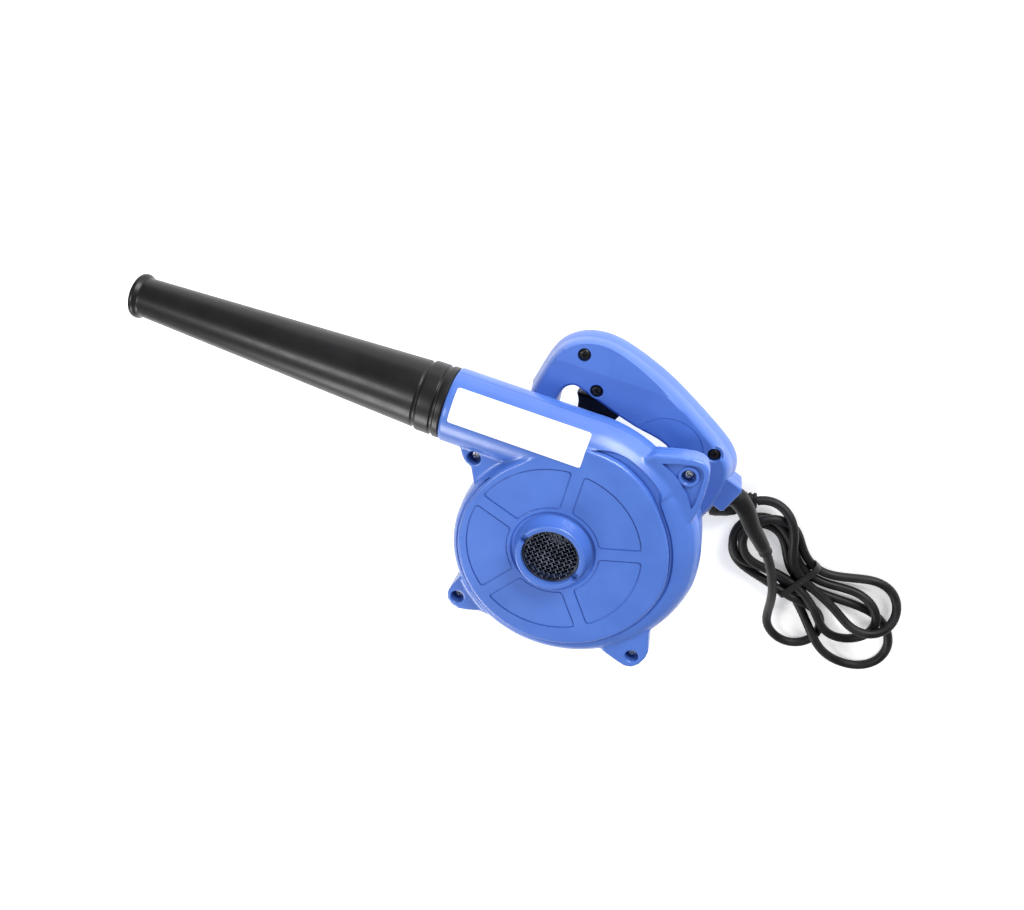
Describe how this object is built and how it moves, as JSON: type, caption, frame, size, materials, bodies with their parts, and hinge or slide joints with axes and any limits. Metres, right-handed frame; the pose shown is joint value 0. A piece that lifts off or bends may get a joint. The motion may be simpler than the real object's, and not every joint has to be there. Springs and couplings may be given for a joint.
{
  "type": "hand-held electric blower",
  "caption": "Hand-held electric blower with a scroll fan housing, long tapered nozzle, trigger handle and a mains cord tied in a hank.",
  "frame": {"origin": "centre of the motor end cap's flat foot, on the motor axis; the blower stands on this face with its inlet facing up", "axes": "+Z along the motor axis from the foot to the inlet; -X along the outlet tube to the nozzle's tip; +Y from the motor axis to the handle"},
  "size_m": [0.575, 0.2043, 0.136],
  "materials": {
    "blue_plastic": "moulded, semi-gloss",
    "black_plastic": "moulded, glossy",
    "grey_plastic": "moulded, matt",
    "label_film": "blank film",
    "cord_rubber": "smooth, satin",
    "zinc_steel": "zinc plated",
    "bearing_steel": "ground",
    "laminations": "stacked sheet, oiled",
    "copper": "enamelled wire",
    "carbon": "pressed carbon",
    "brass": "drawn"
  },
  "bodies": {
    "body": {"front_cover": "blue_plastic", "motor_housing": "blue_plastic", "handle_cover": "blue_plastic", "end_cap": "blue_plastic", "switch_body": "black_plastic", "hank_tie": "black_plastic", "handle_screw_front": "black_plastic", "handle_screw_middle": "black_plastic", "handle_screw_rear": "black_plastic", "label": "label_film", "inlet_grille": "zinc_steel", "brush_spring_left": "zinc_steel", "brush_spring_right": "zinc_steel", "trigger_pin": "zinc_steel", "clamp_screw_1": "zinc_steel", "clamp_screw_2": "zinc_steel", "lug_screw_upper_left": "zinc_steel", "lug_screw_upper_right": "zinc_steel", "lug_screw_lower_left": "zinc_steel", "lug_screw_lower_right": "zinc_steel", "cap_screw_left": "zinc_steel", "cap_screw_right": "zinc_steel", "front_bearing": "bearing_steel", "rear_bearing": "bearing_steel", "stator_core": "laminations", "field_coil_upper": "copper", "field_coil_lower": "copper", "cord_clamp": "grey_plastic", "brush_holder_left": "brass", "brush_holder_right": "brass", "capacitor": "brass", "plug_pin_left": "brass", "plug_pin_right": "brass", "carbon_brush_left": "carbon", "carbon_brush_right": "carbon", "cord_guard": "cord_rubber", "power_cord": "cord_rubber", "cord_hank": "cord_rubber", "plug_lead": "cord_rubber", "plug_body": "cord_rubber", "inner_lead": "cord_rubber"},
    "rotor": {"impeller": "black_plastic", "impeller_washer": "zinc_steel", "impeller_nut": "zinc_steel", "armature_shaft": "bearing_steel", "armature_core": "laminations", "winding_rear": "copper", "winding_front": "copper", "commutator": "copper", "cooling_fan": "grey_plastic"},
    "nozzle": {"nozzle": "black_plastic"},
    "trigger": {"trigger": "black_plastic"},
    "switch_plunger": {"switch_plunger": "grey_plastic"},
    "lock_button": {"lock_button": "black_plastic"}
  },
  "joints": [
    {"name": "rotor_spin", "type": "hinge", "parent": "body", "child": "rotor", "pos_m": [0, 0, 0.06], "axis": [0, 0, 1], "continuous": true},
    {"name": "nozzle_twist", "type": "hinge", "parent": "body", "child": "nozzle", "pos_m": [-0.1, 0.063, 0.1017], "axis": [1, 0, 0], "range_deg": [0, 45]},
    {"name": "trigger_pull", "type": "hinge", "parent": "body", "child": "trigger", "pos_m": [0.014, 0.086, 0.064], "axis": [0, 0, -1], "range_deg": [0, 6], "stiffness_Nm_per_rad": 1.2},
    {"name": "plunger_press", "type": "slide", "parent": "body", "child": "switch_plunger", "axis": [0, 1, 0], "range_m": [0, 0.001]},
    {"name": "lock_press", "type": "slide", "parent": "body", "child": "lock_button", "axis": [0, 0, 1], "range_m": [0, 0.003], "stiffness_N_per_m": 400}
  ],
  "couplings": [
    {"joint": "plunger_press", "follows": "trigger_pull", "m_per_rad": 0.0085}
  ]
}
